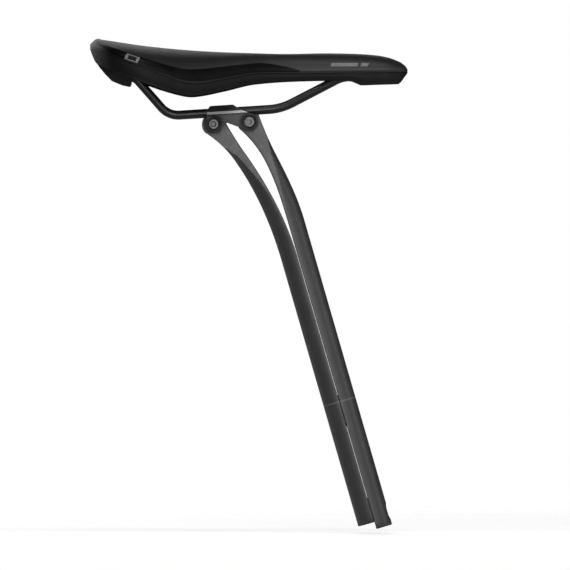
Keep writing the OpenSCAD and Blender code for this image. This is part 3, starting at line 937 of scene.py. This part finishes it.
def crown_layer(name, off_out, off_in, material, node):
    """A closed padded layer between two depths under the cover's surface."""
    rings = []
    for i in range(STATIONS + 1):
        x = station(i / STATIONS)
        outer = [crown_point(x, f, off_out(x)) for f in CROWN]
        inner = [crown_point(x, f, off_in(x)) for f in reversed(CROWN)]
        rings.append(inner + outer)
    points, faces = ring_skin(rings)
    layer = new_piece(name, points, faces, material)
    smooth_shade(layer, 45)
    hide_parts(node)
    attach(layer, "saddle")


crown_layer("cover", lambda x: 0, lambda x: COVER_T, COVER, "saddle_cover")
crown_layer("foam_pad", lambda x: FOAM_FROM, foam_depth, FOAM, "saddle_foam")

SHELL_T = 2.2
SHELL_GAP = 0.8
SKIRT_TUCK = 2.5
SKIRT_BELLY = 0.8
LIP = 0.45
LIP_HEIGHT = 0.7
LIP_REACH = 0.6


def shell_ring(x, thick):
    """Half of the shell's section: skirt, rim, crown under the foam, rim and skirt."""
    k = shrink(x)
    width = half_width(x) - thick * k
    drop = SHELL_GAP + thick * k
    rim = curve(SEAM_LINE, x) - drop
    low = curve(SKIRT_LINE, x)
    tuck = SKIRT_TUCK * k
    skirt = []
    steps = 26
    for j in range(steps + 1):
        share = 0.5 - 0.5 * math.cos(math.pi * j / steps)
        z = mix(low, rim, share)
        belly = SKIRT_BELLY * k * math.sin(math.pi * share)
        lip = 0 if thick else LIP * k * math.exp(-(((z - low - LIP_HEIGHT) / LIP_REACH) ** 2))
        skirt.append((width - tuck * (1 - share) ** 1.5 + belly + lip, z))
    right = [on_saddle(x, -y, z) for y, z in skirt]
    left = [on_saddle(x, y, z) for y, z in reversed(skirt)]
    depth = foam_depth(x) + SHELL_GAP + thick
    arc = [crown_point(x, f, depth) - Vector((0, 0, drop)) for f in CROWN]
    return right + arc + left


def build_shell():
    """The saddle's shell, as a closed layer between its outer and its inner section."""
    rings = []
    for i in range(STATIONS + 1):
        x = station(i / STATIONS)
        rings.append(list(reversed(shell_ring(x, SHELL_T))) + shell_ring(x, 0))
    points, faces = ring_skin(rings)
    shell = new_piece("shell", points, faces, SHELL)
    smooth_shade(shell, 40)
    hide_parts("saddle_shell")
    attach(shell, "saddle")


build_shell()

WELT_R = 0.42
WELT_LEAST_R = 0.05
WELT_SIDES = 10
WELT_INSET = 1.7


def build_welt(name, side):
    """A thin bead that closes the seam between the cover and the shell."""
    rings = []
    for i in range(STATIONS + 1):
        x = station(i / STATIONS)
        k = shrink(x)
        y, z = side * (half_width(x) - WELT_INSET * k), curve(SEAM_LINE, x) - SHELL_GAP / 2
        across, up = Vector((0, 1, 0)), Vector((0, 0, 1))
        rings.append(disc_ring(on_saddle(x, y, z), across, up, WELT_R * k + WELT_LEAST_R, WELT_SIDES))
    points, faces = ring_skin(rings)
    welt = new_piece(name, points, faces, PANEL)
    smooth_shade(welt, 60)
    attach(welt, "saddle")


for word, side in SIDES:
    build_welt(f"seam_welt_{word}", side)

PANEL_T = 0.35
PANEL_SINK = 0.15
PANEL_FROM = -104.0
PANEL_TO = 62.0
PANEL_LOW = math.radians(88.6)


def build_panel(name, side, node):
    """A glossy side panel, rolled down over a sixth of its height and an eighth of its length."""
    rows, columns = 140, 36
    rings = []
    for i in range(rows + 1):
        x = mix(PANEL_FROM, PANEL_TO, i / rows)
        top = side_angle(x, curve(PANEL_LINE, x), least=0.02, most=0.92)
        inner, outer = [], []
        for j in range(columns + 1):
            f = mix(top, PANEL_LOW, math.sin(math.radians(90 * j / columns)))
            from_side, from_end = min(j, columns - j) / columns, min(i, rows - i) / rows
            edge = min(1.0, 6 * from_side, 8 * from_end)
            proud = (PANEL_T + PANEL_SINK) * math.sqrt(edge * (2 - edge)) - PANEL_SINK
            inner.append(crown_point(x, f, PANEL_T))
            outer.append(crown_point(x, f, -proud))
        ring = list(reversed(inner)) + outer
        rings.append([Vector((p.x, side * p.y, p.z)) for p in ring])
    points, faces = ring_skin(rings)
    panel = new_piece(name, points, faces, PANEL)
    smooth_shade(panel, 50)
    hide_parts(node)
    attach(panel, "saddle")


for word, side in SIDES:
    build_panel(f"side_panel_{word}", side, f"{word}_side_panel")


def build_mark(name, side, corners, proud, material):
    """A flat four-sided mark on the side of the saddle, with no lettering.

    corners holds x and z of the lower rear, lower front, upper front and upper rear corner.
    """
    low_rear, low_front, top_front, top_rear = corners
    columns, rows = 18, 12
    rings = []
    for i in range(columns + 1):
        t = i / columns
        lower, upper = [], []
        for j in range(rows + 1):
            u = j / rows
            x = mix(mix(low_rear[0], low_front[0], t), mix(top_rear[0], top_front[0], t), u)
            z = mix(mix(low_rear[1], low_front[1], t), mix(top_rear[1], top_front[1], t), u)
            f = side_angle(x, z)
            lower.append(crown_point(x, f, MARK_SINK - proud))
            upper.append(crown_point(x, f, -proud - MARK_T))
        ring = list(reversed(lower)) + upper
        rings.append([Vector((p.x, side * p.y, p.z)) for p in ring])
    points, faces = ring_skin(rings)
    mark = new_piece(name, points, faces, material)
    smooth_shade(mark, 50)
    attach(mark, "saddle")


MARK_SINK = 0.12
MARK_T = 0.06
BADGE = ((-81.7, 42.6), (-70.8, 38.9), (-68.5, 43.6), (-79.4, 47.2))
BADGE_FIELD = ((-79.1, 42.8), (-72.4, 40.5), (-71, 43.4), (-77.7, 45.7))
LONG_BAR = ((86, 37.2), (108, 37.2), (109.2, 40), (87.2, 40))
SHORT_BAR = ((110.5, 37.2), (116.5, 37.2), (117.7, 40), (111.7, 40))

for word, side in SIDES:
    build_mark(f"tail_mark_{word}", side, BADGE, PANEL_T, PRINT)
    build_mark(f"tail_mark_field_{word}", side, BADGE_FIELD, PANEL_T + MARK_T, PANEL)
    build_mark(f"nose_mark_long_{word}", side, LONG_BAR, 0.0, PRINT)
    build_mark(f"nose_mark_short_{word}", side, SHORT_BAR, 0.0, PRINT)

# ---------- stage, light and camera ----------


def build_floor():
    """A pale floor just under the post's foot that fades into the backdrop."""
    size, gap, glow, fade_from, fade_to = 2.6, 0.004, 0.55, 0.35, 1.6
    mesh = bpy.data.meshes.new("floor")
    z = cad_bounds[0].z - gap
    corners = [(-size, -size, z), (size, -size, z), (size, size, z), (-size, size, z)]
    mesh.from_pydata(corners, [], [(0, 1, 2, 3)])
    floor = bpy.data.objects.new("floor", mesh)
    bpy.context.collection.objects.link(floor)
    paint = Paint("pale_floor")
    paint.colour(paint.tint(paint.noise(60.0), grey(0.78), grey(0.8)))
    paint.rough(0.8)
    seen = paint.add("ShaderNodeLightPath").outputs["Is Camera Ray"]
    paint.set(Emission_Color=(1, 1, 1, 1))
    paint.link(paint.math("MULTIPLY", seen, glow), paint.shader.inputs["Emission Strength"])
    length = paint.add("ShaderNodeVectorMath", operation="LENGTH")
    paint.link(paint.place, length.inputs[0])
    fade = paint.spread(length.outputs["Value"], fade_from, fade_to, 1.0, 0.0)
    below = paint.add("ShaderNodeNewGeometry").outputs["Backfacing"]
    seen_from_above = paint.math("SUBTRACT", 1.0, below)
    paint.link(paint.math("MULTIPLY", fade, seen_from_above), paint.shader.inputs["Alpha"])
    mesh.materials.append(paint.material)


def build_backdrop():
    """White where the camera sees it, softer as a light."""
    world = bpy.data.worlds.new("backdrop")
    bpy.context.scene.world = world
    world.use_nodes = True
    tree = world.node_tree
    tree.nodes.clear()
    path = tree.nodes.new("ShaderNodeLightPath")
    mixer = tree.nodes.new("ShaderNodeMixShader")
    output = tree.nodes.new("ShaderNodeOutputWorld")
    as_light, as_seen = 0.04, 1.0
    for socket, strength in ((1, as_light), (2, as_seen)):
        white = tree.nodes.new("ShaderNodeBackground")
        white.inputs["Strength"].default_value = strength
        white.inputs["Color"].default_value = (1, 1, 1, 1)
        tree.links.new(white.outputs[0], mixer.inputs[socket])
    tree.links.new(path.outputs["Is Camera Ray"], mixer.inputs[0])
    tree.links.new(mixer.outputs[0], output.inputs[0])


def softbox(name, place, aim, width, height, power):
    """A rectangular soft light that faces a point."""
    light = bpy.data.lights.new(name, "AREA")
    light.shape = "RECTANGLE"
    light.size, light.size_y = width, height
    light.energy = power
    holder = bpy.data.objects.new(name, light)
    bpy.context.collection.objects.link(holder)
    holder.location = place
    holder.rotation_euler = (Vector(aim) - Vector(place)).to_track_quat("-Z", "Y").to_euler()


# Each light's place from the object's middle, its width and height in metres and its power in watts.
SOFTBOXES = {
    "front": ((0.12, -2.3, 0.2), 0.7, 1.5, 30),
    "right": ((2.1, -0.4, 0.4), 0.8, 1.6, 9),
    "right_front": ((1.3, -1.7, 0.3), 0.6, 1.6, 7),
    "left": ((-1.7, 1.5, 0.6), 0.8, 1.6, 9),
    "above": ((0, -0.95, 1.8), 1.4, 0.5, 13),
    "back": ((-0.5, 2.3, 0.9), 1.6, 1.6, 14),
}


def build_lights():
    low, high = cad_bounds
    middle = (low + high) / 2
    for name, (offset, width, height, power) in SOFTBOXES.items():
        softbox(name, middle + Vector(offset), middle, width, height, power)


def build_camera():
    """A long lens level with the bicycle's side, so parallel edges stay parallel."""
    view_width, view_across, view_up = 465.6, -44.5, 95.2
    lens, sensor = 1000.0, 36.0
    camera = bpy.data.cameras.new("camera")
    camera.lens = lens
    camera.sensor_width = sensor
    camera.clip_start, camera.clip_end = 1.0, 100.0
    holder = bpy.data.objects.new("camera", camera)
    bpy.context.collection.objects.link(holder)
    distance = view_width * MM * lens / sensor
    holder.location = (view_across * MM, -distance, view_up * MM)
    holder.rotation_euler = (math.radians(90), 0, 0)
    bpy.context.scene.camera = holder


build_floor()
build_backdrop()
build_lights()
build_camera()
bpy.context.scene.view_settings.view_transform = "Standard"
